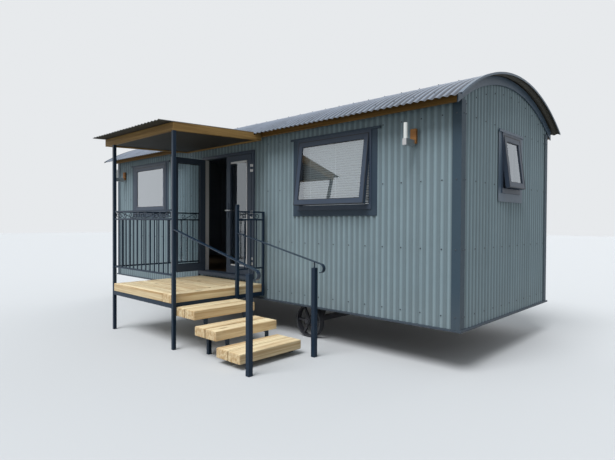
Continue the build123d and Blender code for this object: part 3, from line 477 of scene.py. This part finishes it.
def refinish_fittings():
    """White doorway and leaf edges, dark handle plate, gable trims in the paler verge paint as
    painted light, clear glass at the blind.
    """
    low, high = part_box("door_frame")
    middle_x = (low.x + high.x) / 2
    left_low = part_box("door_leaf_left")[0]
    right_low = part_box("door_leaf_right")[0]
    blind_low, blind_high = front_windows[1]

    def doorway(at, normal):
        return (middle_x - at.x) * normal.x > doorway_side

    def left_edge(at, normal):
        return normal.y < -square_on and at.y < left_low.y + leaf_edge

    def right_edge(at, normal):
        return normal.x < -square_on and at.x < right_low.x + leaf_edge

    refinish("door_frame", white_foil, doorway)
    refinish("door_leaf_left", white_foil, left_edge)
    refinish("door_leaf_right", white_foil, right_edge)
    refinish("door_handle", frame_paint, lambda at, normal: at.y > right_low.y - handle_plate)
    refinish("window_panes", blind_glass, lambda at, normal: blind_low.x < at.x < blind_high.x)
    # Painted light: the gable window trims, the same paint as the front ones, get the paler verge
    # paint
    refinish("window_trims", verge_paint, lambda at, normal: abs(at.x) > right_x - gable_band)


def finish_mesh(name, build):
    """Object of a mesh that has been built, linked to the scene."""
    mesh = bpy.data.meshes.new(name)
    build.to_mesh(mesh)
    build.free()
    made = bpy.data.objects.new(name, mesh)
    bpy.context.scene.collection.objects.link(made)
    return made


def finish_piece(name, build, material, body="hut", place=None):
    """Piece of a mesh that has been built, finished, put in its place and riding on its body."""
    made = finish_mesh(name, build)
    made.data.materials.append(material)
    if place:
        made.matrix_world = place
    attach(made, body)
    return made


def add_box(build, size, middle=(0, 0, 0)):
    """Box added to a mesh that is being built."""
    scale = Matrix.Diagonal((*size, 1.0))
    bmesh.ops.create_cube(build, size=1.0, matrix=Matrix.Translation(middle) @ scale)


def mark_sharp(build, angle):
    """Edges that turn by more than an angle shade as sharp ones."""
    for edge in build.edges:
        edge.smooth = edge.calc_face_angle(0) < angle


def solids(node_name):
    """Corners of each separate solid of a node."""
    mesh = nodes[node_name].data
    parent = list(range(len(mesh.vertices)))

    def root(index):
        while parent[index] != index:
            parent[index] = parent[parent[index]]
            index = parent[index]
        return index

    places = {}
    for vertex in mesh.vertices:
        key = tuple(round(part, 5) for part in vertex.co)
        parent[vertex.index] = places.setdefault(key, vertex.index)
    for edge in mesh.edges:
        parent[root(edge.vertices[0])] = root(edge.vertices[1])
    groups = {}
    for vertex in mesh.vertices:
        groups.setdefault(root(vertex.index), []).append(vertex.co)
    return list(groups.values())


def islands(node_name):
    """Boxes of the separate solids of a node, as pairs of corners."""
    boxes = []
    for corners in solids(node_name):
        low = Vector([min(corner[axis] for corner in corners) for axis in range(3)])
        high = Vector([max(corner[axis] for corner in corners) for axis in range(3)])
        boxes.append((low, high))
    return sorted(boxes, key=lambda box: (round(box[0].x, 3), round(box[0].y, 3), box[0].z))


# The hut's main places, read from the frame
front_low, front_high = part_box("front_cladding")
back_low, back_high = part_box("back_cladding")
gable_low, gable_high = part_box("gable_claddings")
roof_low, roof_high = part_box("roof_sheets")
left_x, right_x = front_low.x, front_high.x
front_y, back_y = front_low.y, back_high.y
middle_y = (front_y + back_y) / 2
sheet_depth = front_high.y - front_low.y
front_reach = middle_y - roof_low.y
back_reach = roof_high.y - middle_y
roof_drop = roof_high.z - roof_low.z
roof_radius = (front_reach**2 + roof_drop**2 - sheet_depth**2) / (2 * (roof_drop - sheet_depth))
roof_centre_z = roof_high.z - roof_radius
front_angle = -asin(front_reach / roof_radius)
back_angle = asin(back_reach / roof_radius)


def arc_height(radius, y):
    """Height of a roof arc at a place across the hut."""
    return roof_centre_z + sqrt(radius**2 - (y - middle_y) ** 2)


def wave(run):
    """Depth of the sheets behind their crests; each one laps a little over the next."""
    lap = lap_step * (run / lap_every % 1)
    return (sheet_wave - lap_step) * (1 - cos(2 * pi * run / sheet_pitch)) / 2 + lap


def sheet_runs(length, holes):
    """Places of a sheet's columns along its run, and those of its laps."""
    count = ceil(length / sheet_pitch * steps_per_wave)
    runs = {length * step / count for step in range(count + 1)}
    for start, end, _ in holes:
        runs.update((start, end))
    laps = [number * lap_every for number in range(1, int(length / lap_every) + 1)]
    for lap in laps:
        runs.update((lap - lap_edge, lap))
    return sorted(runs), laps


def add_skins(build, runs, laps, rows, place):
    """Columns of a sheet's front and rear corners, each with its run and its share of painted shade.
    """
    skins = []
    spots = {}
    for behind in (0, sheet_gauge):
        columns = []
        for run in runs:
            depth = wave(run)
            column = [build.verts.new(place(run, height, depth + behind)) for height in rows(run)]
            # Painted shade: deeper in the valleys, and full along each lap as its painted shadow line
            shade = 1.0 if run in laps else depth / sheet_wave
            spots.update((vertex, (run, shade)) for vertex in column)
            columns.append(column)
        skins.append(columns)
    return skins, spots


def join_skins(build, skins):
    """Rims that close a sheet round its outline and its holes."""
    twins = {}
    for column, rear_column in zip(*skins):
        twins.update(zip(column, rear_column))
    for edge in [edge for edge in build.edges if edge.is_boundary and edge.verts[0] in twins]:
        near, far = edge.verts
        build.faces.new((near, far, twins[far], twins[near]))


def corrugated(name, length, rows, place, material, holes=(), back=None):
    """Wavy sheet as a closed thin shell.

    Rows gives the heights at a run, place turns a run, a height and a depth into a point,
    holes are (start, end, row) cells, and back is the rear skin's dark material, painted underside
    shade.
    """
    runs, laps = sheet_runs(length, holes)
    build = bmesh.new()
    layer = build.loops.layers.uv.new(sheet_map)
    skins, spots = add_skins(build, runs, laps, rows, place)
    for index in range(len(runs) - 1):
        middle = (runs[index] + runs[index + 1]) / 2
        for row in range(len(skins[0][0]) - 1):
            if any(start < middle < end and row == hole for start, end, hole in holes):
                continue
            for side, columns in enumerate(skins):
                first, second = columns[index], columns[index + 1]
                face = build.faces.new((first[row], second[row], second[row + 1], first[row + 1]))
                face.material_index = side if back else 0
    join_skins(build, skins)
    loose = [vertex for vertex in build.verts if not vertex.link_faces]
    bmesh.ops.delete(build, geom=loose, context="VERTS")
    bmesh.ops.recalc_face_normals(build, faces=build.faces)
    for face in build.faces:
        face.smooth = True
        for corner in face.loops:
            corner[layer].uv = spots[corner.vert]
    mark_sharp(build, sheet_sharp)
    made = finish_piece(name, build, material)
    if back:
        made.data.materials.append(back)
    return made


def window_boxes():
    """Corners of the four window frames, by wall."""
    boxes = islands("window_frames")
    front = [box for box in boxes if box[0].y < front_high.y + front_band]
    right = [box for box in boxes if box[0].x > 0 and box not in front]
    left = [box for box in boxes if box[0].x < 0 and box not in front]
    return sorted(front, key=lambda box: box[0].x), right[0], left[0]


front_windows, right_window, left_window = window_boxes()
door_low, door_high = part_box("door_frame")
sill_z = front_windows[0][0].z
head_z = front_windows[0][1].z


def clad_front():
    """Corrugated front wall with its two windows and the doorway cut out."""
    heights = [front_low.z, door_low.z, sill_z, door_high.z, head_z, front_high.z]

    def place(run, height, depth):
        return (left_x + run, front_y + sheet_clearance + depth, height)

    door = (door_low.x - left_x, door_high.x - left_x)
    holes = [(*door, 1), (*door, 2)]
    for low, high in front_windows:
        for row in (2, 3):
            holes.append((low.x - left_x, high.x - left_x, row))
    length = right_x - left_x
    sheet = corrugated("front_sheets", length, lambda run: heights, place, cladding_paint, holes)
    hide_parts("front_cladding")


def clad_back():
    """Plain corrugated back wall."""

    def place(run, height, depth):
        return (right_x - run, back_y - sheet_clearance - depth, height)

    heights = [back_low.z, back_high.z]
    sheet = corrugated("back_sheets", right_x - left_x, lambda run: heights, place, cladding_paint)
    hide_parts("back_cladding")


def clad_gables():
    """Corrugated gables, their tops under the roof arc."""
    start_y = gable_low.y
    end_y = gable_high.y
    width = end_y - start_y
    inner_radius = gable_high.z - roof_centre_z
    sheets = []
    for name, x, side, (low, high) in (
        ("gable_sheets_right", right_x, 1, right_window),
        ("gable_sheets_left", left_x, -1, left_window),
    ):

        def across(run):
            return start_y + run if side == 1 else end_y - run

        def rows(run):
            return [gable_low.z, low.z, high.z, arc_height(inner_radius, across(run))]

        def place(run, height, depth):
            return (x - side * (sheet_clearance + depth), across(run), height)

        if side == 1:
            hole = (low.y - start_y, high.y - start_y, 1)
        else:
            hole = (end_y - high.y, end_y - low.y, 1)
        sheets.append(corrugated(name, width, rows, place, cladding_paint, [hole]))
    for sheet in sheets:
        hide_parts("gable_claddings")


def roof_point(run, angle, radius):
    """Place on the roof's arc, at a run along the hut and an angle from the crown."""
    return (roof_low.x + run, middle_y + radius * sin(angle), roof_centre_z + radius * cos(angle))


def sheet_roof():
    """Corrugated sheets curved over the roof from eave to eave."""
    turn = (back_angle - front_angle) / roof_arc_steps
    angles = [front_angle + turn * step for step in range(roof_arc_steps + 1)]

    def place(run, angle, depth):
        return roof_point(run, angle, roof_radius - sheet_clearance - depth)

    sheet = corrugated(
        "roof_corrugated",
        roof_high.x - roof_low.x,
        lambda run: angles,
        place,
        roof_paint,
        back=under_roof_shade,
    )
    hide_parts("roof_sheets")


def sheet_canopy():
    """Corrugated sheet on the sloping canopy."""
    low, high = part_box("canopy_sheet")
    corners = [vertex.co for vertex in nodes["canopy_sheet"].data.vertices]
    front_top = max(corner.z for corner in corners if corner.y < low.y + canopy_front)
    slope = (high.z - front_top) / (high.y - low.y)
    stretch = sqrt(1 + slope**2)

    def place(run, y, depth):
        drop = (depth + sheet_clearance) / stretch
        return (low.x + run, y + drop * slope / 2, front_top + slope * (y - low.y) - drop)

    rows = [low.y + canopy_trim, high.y - canopy_trim]
    width = high.x - low.x
    sheet = corrugated(
        "canopy_corrugated", width, lambda run: rows, place, canopy_paint, back=under_roof_shade
    )
    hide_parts("canopy_sheet")


def add_screw(build, place, outward):
    """Hexagon head on a round washer, standing on a surface."""
    turn = Vector((0, 0, 1)).rotation_difference(Vector(outward)).to_matrix().to_4x4()
    at = Matrix.Translation(place) @ turn
    for radius, depth, lift, sides in (
        (washer_radius, washer_height, washer_lift, 12),
        (screw_radius, screw_height, screw_height / 2, 6),
    ):
        bmesh.ops.create_cone(
            build,
            cap_ends=True,
            segments=sides,
            radius1=radius,
            radius2=radius * screw_taper,
            depth=depth,
            matrix=at @ Matrix.Translation((0, 0, lift)),
        )


def screws(name, places):
    """One mesh of many screws; places are (point, outward direction) pairs."""
    build = bmesh.new()
    for point, outward in places:
        add_screw(build, point, outward)
    finish_piece(name, build, screw_paint)


def fixed_crests(start, end):
    """Places of the crests that are screwed down, between two ends."""
    while start < end:
        yield start
        start += screw_spacing


def near_opening(run, height, boxes, axis):
    """Whether a place on a wall is in one of the openings, or close to it."""
    for low, high in boxes:
        beside = low[axis] - opening_margin < run < high[axis] + opening_margin
        if beside and low.z - opening_margin < height < high.z + opening_head_margin:
            return True
    return False


def fix_walls():
    """Rows of screws on the crests of the front and back sheets."""
    openings = [*front_windows, (door_low, door_high)]
    places = []
    for crest in fixed_crests(left_x + sheet_pitch, right_x - wall_screw_margin):
        for height in wall_screw_heights:
            if not near_opening(crest, height, openings, 0):
                places.append(((crest, front_y, height), (0, -1, 0)))
            places.append(((crest, back_y, height), (0, 1, 0)))
    screws("wall_screws", places)


def fix_gables():
    """Rows of screws on the crests of the gable sheets, and one row along the arc."""
    places = []
    for crest in fixed_crests(gable_low.y + sheet_pitch, gable_high.y - gable_screw_margin):
        arc_top = arc_height(gable_high.z - roof_centre_z, crest) - gable_screw_drop
        for side, x, window in ((1, right_x, right_window), (-1, left_x, left_window)):
            for height in (*wall_screw_heights, arc_top):
                if height <= arc_top and not near_opening(crest, height, [window], 1):
                    places.append(((x, crest, height), (side, 0, 0)))
    screws("gable_screws", places)


def fix_corners():
    """Screws down the folded corner flashings."""
    low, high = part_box("corner_flashings")
    places = []
    for height in wall_screw_heights:
        for x, side_x in ((low.x, -1), (high.x, 1)):
            for y, side_y in ((low.y, -1), (high.y, 1)):
                places.append(((x, y - side_y * corner_screw_inset, height), (side_x, 0, 0)))
                places.append(((x - side_x * corner_screw_inset, y, height), (0, side_y, 0)))
    screws("corner_screws", places)


def fix_roof():
    """Rows of screws along the roof's crests, where they stay under the crown's height."""
    angles = [front_angle + share * (back_angle - front_angle) for share in roof_screw_rows]
    radius = roof_radius - 2 * sheet_clearance
    places = []
    for run in fixed_crests(2 * sheet_pitch, roof_high.x - roof_low.x - roof_screw_margin):
        for angle in angles:
            point = roof_point(run, angle, radius)
            if point[2] + screw_height < roof_high.z + roof_screw_rise:
                places.append((point, (0, sin(angle), cos(angle))))
    screws("roof_screws", places)


def sleeper(name, low, high, seed):
    """Sawn sleeper with eased edges and slightly uneven faces, its grain along its length."""
    size = high - low
    turn = Matrix.Identity(4)
    if size.y > size.x:
        size.x, size.y = size.y, size.x
        turn = Matrix.Rotation(pi / 2, 4, "Z")
    size.y -= sleeper_gap
    chance = random.Random(seed)
    build = bmesh.new()
    add_box(build, size)
    slices = max(2, round(size.x / sleeper_slice))
    long_edges = [e for e in build.edges if abs(e.verts[0].co.x - e.verts[1].co.x) > size.x / 2]
    bmesh.ops.subdivide_edges(build, edges=long_edges, cuts=slices, use_grid_fill=True)
    corners = [e for e in build.edges if e.calc_face_angle(0) > sleeper_sharp]
    bmesh.ops.bevel(build, geom=corners, offset=sleeper_bevel, segments=2, affect="EDGES")
    for vertex in build.verts:
        sink = sleeper_unevenness * chance.random()
        vertex.co.y -= sink * (1 if vertex.co.y > 0 else -1)
        vertex.co.z -= sink * (1 if vertex.co.z > 0 else -1)
    for face in build.faces:
        face.smooth = True
    build.normal_update()
    mark_sharp(build, sleeper_sharp)
    place = Matrix.Translation((low + high) / 2) @ turn
    return finish_piece(name, build, sleeper_timber, place=place)


def lay_sleepers():
    """Deck and step sleepers as separate sawn timbers."""
    for node_name in ("deck_sleepers", "step_treads"):
        for number, (low, high) in enumerate(islands(node_name), start=1):
            made = sleeper(f"{node_name}_{number}", low, high, sleeper_seed + number)
            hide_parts(node_name)


def slat_section():
    """Outline of a tilted, crowned slat, as offsets across the wall and in height."""
    section = []
    for gauge, shares in ((0, slat_shares), (slat_gauge, slat_shares[::-1])):
        for share in shares:
            across = slat_width * share
            crown = slat_crown * (1 - (2 * share) ** 2) - gauge
            y = -across * cos(slat_tilt) - crown * sin(slat_tilt)
            z = across * sin(slat_tilt) - crown * cos(slat_tilt)
            section.append((y, z))
    return section


def hang_blind():
    """Venetian blind: tilted slats between a head rail and a foot rail, on ladder cords."""
    low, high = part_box("window_blind")
    frame_low, frame_high = front_windows[1]
    left, right = frame_low.x + blind_side, frame_high.x - blind_side
    top, bottom = frame_high.z - blind_head, frame_low.z + blind_foot
    middle = Vector(((left + right) / 2, (low.y + high.y) / 2, 0))
    section = slat_section()
    build = bmesh.new()
    height = top - first_slat_drop
    while height > bottom + last_slat_rise:
        near_end, far_end = [
            [build.verts.new((x, middle.y + y, height + z)) for y, z in section]
            for x in (left, right)
        ]
        for index in range(len(section)):
            sides = near_end[index - 1], near_end[index], far_end[index], far_end[index - 1]
            build.faces.new(sides).smooth = True
        build.faces.new(near_end)
        build.faces.new(far_end)
        height -= slat_pitch
    bmesh.ops.recalc_face_normals(build, faces=build.faces)
    mark_sharp(build, sheet_sharp)
    for z, depth, rail_height in (
        (top - head_rail_drop, head_rail_depth, head_rail_height),
        (bottom + foot_rail_height / 2, foot_rail_depth, foot_rail_height),
    ):
        add_box(build, (right - left, depth, rail_height), (middle.x, middle.y, z))
    for share in cord_shares:
        place = (left + share * (right - left), low.y + cord_size, (top + bottom) / 2)
        add_box(build, (cord_size * 2, cord_size, top - bottom), place)
    build.normal_update()
    blind = finish_piece("blind_slats", build, slat_paint)
    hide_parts("window_blind")


def add_strip(build, ends, across, outward, width):
    """Flat bar along a pane's face, between two ends, with a width to one side."""
    lift = outward * seal_lift
    base = [ends[0], ends[1], ends[1] + across * width, ends[0] + across * width]
    lower = [build.verts.new(point + lift) for point in base]
    upper = [build.verts.new(point + lift + outward * seal_height) for point in base]
    build.faces.new(upper)
    build.faces.new(lower[::-1])
    for index in range(4):
        after = (index + 1) % 4
        build.faces.new((lower[index], lower[after], upper[after], upper[index]))


def outer_face(corners, axis, side):
    """Four outer corners of a pane, in order round it, and its outward direction."""
    middle_z = sum(corner.z for corner in corners) / len(corners)
    pairs = []
    for half in (
        [corner for corner in corners if corner.z < middle_z],
        [corner for corner in corners if corner.z > middle_z],
    ):
        outer = sorted(half, key=lambda corner: -side * corner[axis])[: len(half) // 2]
        pairs.append(sorted(outer, key=lambda corner: corner[1 - axis]))
    low_pair, high_pair = pairs
    ring = [low_pair[0], low_pair[-1], high_pair[-1], high_pair[0]]
    outward = (ring[1] - ring[0]).cross(ring[3] - ring[0]).normalized()
    return ring, outward if outward[axis] * side > 0 else -outward


def seal_panes():
    """Black seals round every pane and sash, on both faces of the leaf that stands open; round the
    sashes they are partly painted shadow of the gap to the frame.
    """
    for node_name, body in (
        ("window_panes", "hut"),
        ("window_sashes", "hut"),
        ("door_glass_left", "left_leaf"),
        ("door_glass_right", "right_leaf"),
    ):
        build = bmesh.new()
        for corners in solids(node_name):
            middle = sum(corners, Vector()) / len(corners)
            if node_name == "door_glass_left":
                faces = ((0, 1), (0, -1))
            elif middle.y < front_high.y + front_band:
                faces = ((1, -1),)
            else:
                faces = ((0, 1 if middle.x > 0 else -1),)
            for axis, side in faces:
                ring, outward = outer_face(corners, axis, side)
                for index in range(4):
                    ends = (ring[index], ring[(index + 1) % 4])
                    across = (ring[index - 1] - ring[index]).normalized()
                    add_strip(build, ends, across, outward, seal_width)
        bmesh.ops.recalc_face_normals(build, faces=build.faces)
        finish_piece(f"{node_name}_seals", build, seal_rubber_and_gap_shade, body)


def add_spacer_highlights():
    """Pale spacer bars in the right leaf's glass, at its head, foot and hinge side only: painted
    highlights where the glazing beads catch the light.
    """
    ring, outward = outer_face(solids("door_glass_right")[0], 1, -1)
    front = outward * seal_height
    low_left, low_right, high_right, high_left = [corner + front for corner in ring]
    build = bmesh.new()
    for ends, across, width in (
        ((low_right, high_right), (-1, 0, 0), spacer_highlight_side),
        ((high_left, high_right), (0, 0, -1), spacer_highlight_side),
        ((low_left, low_right), (0, 0, 1), spacer_highlight_foot),
    ):
        add_strip(build, ends, Vector(across), outward, width)
    bmesh.ops.recalc_face_normals(build, faces=build.faces)
    finish_piece("door_spacers", build, white_foil, "right_leaf")


def ease_edges():
    """Small bevels that catch the light on the frames, posts and beams."""
    for node_name, width in eased.items():
        node = nodes[node_name]
        weld = node.modifiers.new("weld", "WELD")
        weld.merge_threshold = weld_reach
        edge = node.modifiers.new("ease", "BEVEL")
        edge.width = width
        edge.segments = 2
        edge.limit_method = "ANGLE"
        edge.angle_limit = eased_sharp
        edge.harden_normals = True


def seen_by(tree, *rays):
    """One for rays of the named kinds, which see the stage, and nought for those that light it."""
    path = add_node(tree, "ShaderNodeLightPath").outputs
    seen = path[rays[0]]
    for ray in rays[1:]:
        seen = maths(tree, "MAXIMUM", seen, path[ray])
    return seen


def lay_floor():
    """Plain floor, pale to the eye and dark to the light that bounces off it."""
    build = bmesh.new()
    bmesh.ops.create_grid(build, x_segments=1, y_segments=1, size=floor_size)
    floor = finish_mesh("stage_floor", build)
    floor_paint, tree, shader, _ = start_material("stage_floor", Roughness=0.9)
    seen = seen_by(tree, "Is Camera Ray", "Is Glossy Ray")
    tree.links.new(mix(tree, seen, floor_bounce, floor_colour), shader.inputs["Base Color"])
    floor.data.materials.append(floor_paint)


def background(tree, colour, strength):
    """Plain background of a colour."""
    made = add_node(tree, "ShaderNodeBackground", {"Color": colour, "Strength": strength})
    return made.outputs[0]


def hang_backdrop():
    """Plain pale background, with a weaker ambient light for the surfaces."""
    world = bpy.data.worlds.new("studio")
    world.use_nodes = True
    tree = world.node_tree
    tree.nodes.clear()
    seen = seen_by(tree, "Is Camera Ray", "Is Glossy Ray", "Is Transmission Ray")
    ambient = background(tree, ambient_colour, ambient_strength)
    backdrop = background(tree, backdrop_colour, 1.0)
    mixed = add_node(tree, "ShaderNodeMixShader", {0: seen, 1: ambient, 2: backdrop})
    output = add_node(tree, "ShaderNodeOutputWorld")
    tree.links.new(mixed.outputs[0], output.inputs["Surface"])
    bpy.context.scene.world = world


def hang_lights():
    """Soft key light from the front, with weak lights from the gable and the rear."""
    for name, strength, direction, width in (
        ("key", 3.0, (-0.06, 0.52, -0.85), 34),
        ("fill", 0.3, (0.85, 0.4, -0.4), 60),
        ("rear", 0.8, (0.3, -0.85, -0.4), 60),
    ):
        light = bpy.data.lights.new(name, "SUN")
        light.energy = strength
        light.angle = radians(width)
        lamp = bpy.data.objects.new(name, light)
        lamp.rotation_mode = "QUATERNION"
        lamp.rotation_quaternion = Vector(direction).to_track_quat("-Z", "Y")
        bpy.context.scene.collection.objects.link(lamp)


def place_camera():
    """Camera that looks at the hut as the photograph does."""
    level = Vector((-sin(camera_yaw), cos(camera_yaw), 0))
    forward = cos(camera_pitch) * level - sin(camera_pitch) * Vector((0, 0, 1))
    right = Vector((cos(camera_yaw), sin(camera_yaw), 0))
    up = right.cross(forward)
    tilted_right = cos(camera_roll) * right + sin(camera_roll) * up
    tilted_up = cos(camera_roll) * up - sin(camera_roll) * right
    turn = Matrix((tilted_right, tilted_up, -forward)).transposed()
    lens = bpy.data.cameras.new("camera")
    lens.lens = camera_lens
    lens.sensor_width = 36
    camera = bpy.data.objects.new("camera", lens)
    camera.matrix_world = Matrix.Translation(camera_place) @ turn.to_4x4()
    bpy.context.scene.collection.objects.link(camera)
    bpy.context.scene.camera = camera


bpy.context.scene.view_settings.view_transform = "Standard"
place_camera()
lay_floor()
hang_backdrop()
hang_lights()
refinish_fittings()
clad_front()
clad_back()
clad_gables()
sheet_roof()
sheet_canopy()
fix_walls()
fix_gables()
fix_corners()
fix_roof()
lay_sleepers()
hang_blind()
seal_panes()
add_spacer_highlights()
ease_edges()
